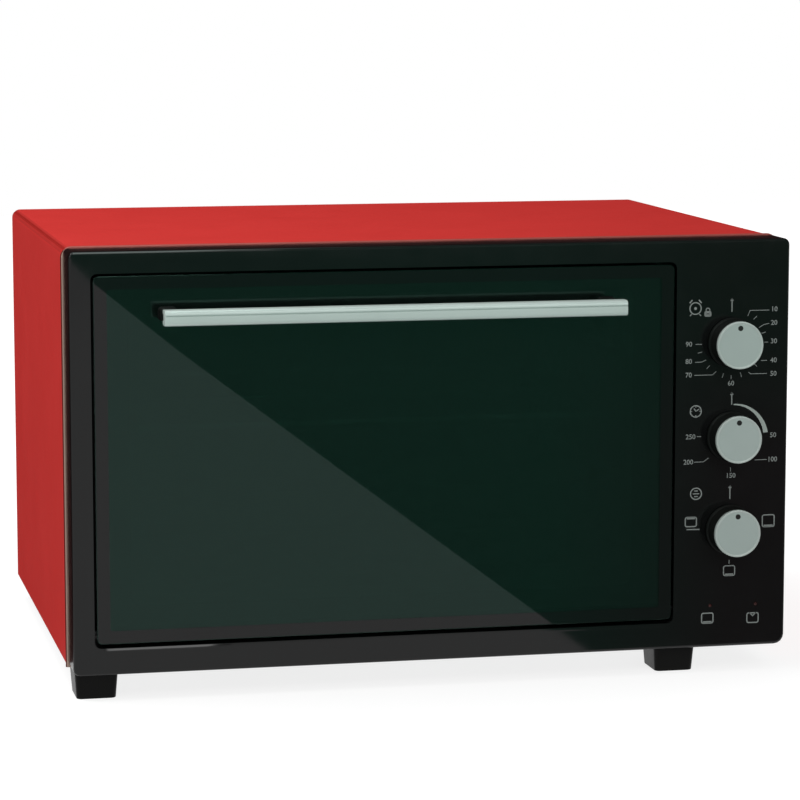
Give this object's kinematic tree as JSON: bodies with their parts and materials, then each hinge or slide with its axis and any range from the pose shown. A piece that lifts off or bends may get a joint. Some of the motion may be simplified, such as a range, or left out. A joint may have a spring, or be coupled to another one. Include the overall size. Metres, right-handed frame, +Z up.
{
  "type": "mini oven",
  "caption": "Counter-top mini oven with a red sheet wrap, black front frame, drop-down glass door, bar handle and a column of round control knobs.",
  "frame": {"origin": "on the table under the middle of the whole oven's box, handle and cable gland included", "axes": "+X to the right as seen from the front, +Y from the front to the back, +Z up"},
  "size_m": [0.56, 0.469, 0.34],
  "materials": {
    "red_paint": "satin red powder coat on sheet steel",
    "black_frame": "gloss black paint on sheet steel",
    "smoked_glass": "dark tempered door glass with a black printed border",
    "clear_glass": "clear tempered inner pane",
    "satin_silver": "satin anodised, finely brushed",
    "zinc_steel": "zinc-coated sheet steel",
    "dark_enamel": "dark vitreous enamel",
    "chromed_wire": "bright chromed wire",
    "element_steel": "heat-darkened steel tube",
    "black_plastic": "black moulded plastic",
    "ceramic": "off-white glazed ceramic",
    "silicone": "dark heat-proof silicone",
    "copper": "bare copper capillary",
    "red_lens": "clear red lens",
    "lead_sleeve": "glass-fibre lead sleeve"
  },
  "bodies": {
    "housing": {"outer_wrap": "red_paint", "base_pan": "zinc_steel", "rear_panel": "zinc_steel", "cable_gland": "black_plastic", "front_frame": "black_frame", "cavity_liner": "dark_enamel", "heat_shield": "zinc_steel", "lower_element": "element_steel", "lower_element_clip": "zinc_steel", "upper_element": "element_steel", "upper_element_clip": "zinc_steel", "door_seal": "silicone", "timer_body": "zinc_steel", "thermostat_body": "ceramic", "selector_switch": "black_plastic", "thermostat_bulb": "copper", "terminal_block": "ceramic", "supply_lead": "lead_sleeve", "timer_lead": "lead_sleeve", "upper_element_lead": "lead_sleeve", "lower_element_lead": "lead_sleeve", "foot_front_left": "black_plastic", "foot_screw_front_left": "zinc_steel", "foot_front_right": "black_plastic", "foot_screw_front_right": "zinc_steel", "foot_rear_left": "black_plastic", "foot_screw_rear_left": "zinc_steel", "foot_rear_right": "black_plastic", "foot_screw_rear_right": "zinc_steel", "hinge_pin_left": "zinc_steel", "hinge_bracket_left": "zinc_steel", "hinge_spring_left": "zinc_steel", "indicator_lamp_left": "red_lens", "hinge_pin_right": "zinc_steel", "hinge_bracket_right": "zinc_steel", "hinge_spring_right": "zinc_steel", "indicator_lamp_right": "red_lens"},
    "door": {"door_outer_glass": "smoked_glass", "door_inner_glass": "clear_glass", "door_pan": "black_frame", "handle_bar": "satin_silver", "handle_post_left": "black_plastic", "handle_post_right": "black_plastic", "handle_screw_left": "zinc_steel", "handle_screw_right": "zinc_steel", "hinge_arm_left": "zinc_steel", "hinge_arm_right": "zinc_steel"},
    "timer_dial": {"timer_knob": "black_plastic", "timer_knob_cap": "satin_silver", "timer_shaft": "zinc_steel"},
    "thermostat_dial": {"thermostat_knob": "black_plastic", "thermostat_knob_cap": "satin_silver", "thermostat_shaft": "zinc_steel"},
    "function_dial": {"function_knob": "black_plastic", "function_knob_cap": "satin_silver", "function_shaft": "zinc_steel"},
    "rack": {"wire_rack": "chromed_wire"},
    "tray": {"baking_tray": "dark_enamel"}
  },
  "joints": [
    {"name": "door_hinge", "type": "hinge", "parent": "housing", "child": "door", "pos_m": [-0.0375, -0.1895, 0.0515], "axis": [1, 0, 0], "range_deg": [0, 90], "stiffness_Nm_per_rad": 0.9, "springref_deg": -20.05, "deforming": ["hinge_spring_left", "hinge_spring_right"]},
    {"name": "timer_turn", "type": "hinge", "parent": "housing", "child": "timer_dial", "pos_m": [0.2335, -0.1965, 0.26], "axis": [0, 1, 0], "range_deg": [-30, 270]},
    {"name": "thermostat_turn", "type": "hinge", "parent": "housing", "child": "thermostat_dial", "pos_m": [0.2335, -0.1965, 0.1867], "axis": [0, 1, 0], "range_deg": [0, 270]},
    {"name": "function_turn", "type": "hinge", "parent": "housing", "child": "function_dial", "pos_m": [0.2335, -0.1965, 0.1134], "axis": [0, 1, 0], "continuous": true},
    {"name": "rack_slide", "type": "slide", "parent": "housing", "child": "rack", "axis": [0, -1, 0], "range_m": [0, 0.228]},
    {"name": "tray_slide", "type": "slide", "parent": "housing", "child": "tray", "axis": [0, -1, 0], "range_m": [0, 0.11]}
  ],
  "couplings": [
    {"joint": "rack_slide", "follows": "door_hinge", "m_per_rad": 0.145},
    {"joint": "tray_slide", "follows": "door_hinge", "m_per_rad": 0.07}
  ]
}
